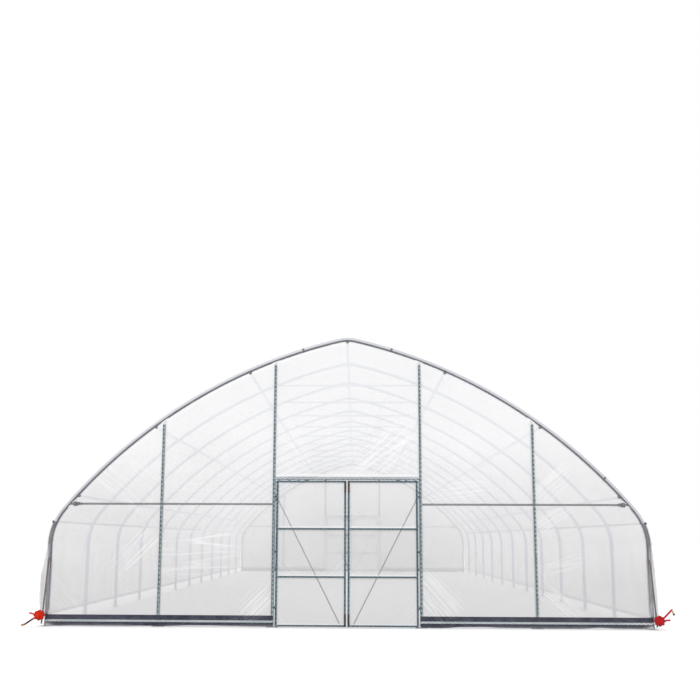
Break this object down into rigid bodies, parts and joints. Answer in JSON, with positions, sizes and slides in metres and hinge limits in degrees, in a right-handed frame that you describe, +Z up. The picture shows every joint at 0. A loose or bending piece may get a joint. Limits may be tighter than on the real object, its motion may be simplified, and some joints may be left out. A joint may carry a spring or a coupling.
{
  "type": "polytunnel greenhouse with Gothic arches",
  "caption": "Film-covered tunnel greenhouse with bent tube arches, roll-up sides worked by hand winches, and a pair of framed doors at each end.",
  "frame": {"origin": "on the ground, at the middle of the plan between the end arches", "axes": "+X across the tunnel to the right, seen from the front; +Y from the front end to the rear end; +Z up"},
  "size_m": [9.5966, 18.6143, 4.468],
  "materials": {
    "galvanised_steel": "galvanised",
    "lock_channel": "mill",
    "clear_film": "polythene film",
    "dark_sheet": "woven sheet",
    "red_paint": "gloss",
    "weathered_rod": "weathered",
    "grip_wood": "turned"
  },
  "bodies": {
    "tunnel": {"arch_01": "galvanised_steel", "arch_02": "galvanised_steel", "arch_03": "galvanised_steel", "arch_04": "galvanised_steel", "arch_05": "galvanised_steel", "arch_06": "galvanised_steel", "arch_07": "galvanised_steel", "arch_08": "galvanised_steel", "arch_09": "galvanised_steel", "arch_10": "galvanised_steel", "arch_11": "galvanised_steel", "arch_12": "galvanised_steel", "arch_13": "galvanised_steel", "purlins": "galvanised_steel", "collar_ties": "galvanised_steel", "base_plates": "galvanised_steel", "roll_tubes": "galvanised_steel", "front_wall_frame": "galvanised_steel", "rear_wall_frame": "galvanised_steel", "hinge_brackets": "galvanised_steel", "roof_film": "clear_film", "left_curtain": "clear_film", "right_curtain": "clear_film", "front_film": "clear_film", "rear_film": "clear_film", "hip_rails": "lock_channel", "front_lock_channels": "lock_channel", "rear_lock_channels": "lock_channel", "front_skirts": "dark_sheet", "rear_skirts": "dark_sheet", "left_winch": "red_paint", "right_winch": "red_paint", "guide_rods": "weathered_rod"},
    "front_left_door": {"front_left_leaf": "galvanised_steel", "front_left_leaf_film": "clear_film"},
    "front_right_door": {"front_right_leaf": "galvanised_steel", "front_right_leaf_film": "clear_film"},
    "rear_left_door": {"rear_left_leaf": "galvanised_steel", "rear_left_leaf_film": "clear_film"},
    "rear_right_door": {"rear_right_leaf": "galvanised_steel", "rear_right_leaf_film": "clear_film"},
    "left_winch_crank": {"left_crank": "red_paint", "left_grip": "grip_wood"},
    "right_winch_crank": {"right_crank": "red_paint", "right_grip": "grip_wood"}
  },
  "joints": [
    {"name": "front_left_door_swing", "type": "hinge", "parent": "tunnel", "child": "front_left_door", "pos_m": [-1.093, -9.205, 1.1], "axis": [0, 0, -1], "range_deg": [0, 165]},
    {"name": "front_right_door_swing", "type": "hinge", "parent": "tunnel", "child": "front_right_door", "pos_m": [1.093, -9.205, 1.1], "axis": [0, 0, 1], "range_deg": [0, 165]},
    {"name": "rear_left_door_swing", "type": "hinge", "parent": "tunnel", "child": "rear_left_door", "pos_m": [-1.093, 9.205, 1.1], "axis": [0, 0, 1], "range_deg": [0, 165]},
    {"name": "rear_right_door_swing", "type": "hinge", "parent": "tunnel", "child": "rear_right_door", "pos_m": [1.093, 9.205, 1.1], "axis": [0, 0, -1], "range_deg": [0, 165]},
    {"name": "left_crank_turn", "type": "hinge", "parent": "tunnel", "child": "left_winch_crank", "pos_m": [-4.601, -9.2955, 0.172], "axis": [0, 1, 0], "range_deg": [-5, 253]},
    {"name": "right_crank_turn", "type": "hinge", "parent": "tunnel", "child": "right_winch_crank", "pos_m": [4.601, -9.2955, 0.14], "axis": [0, -1, 0], "range_deg": [-66, 165]}
  ]
}
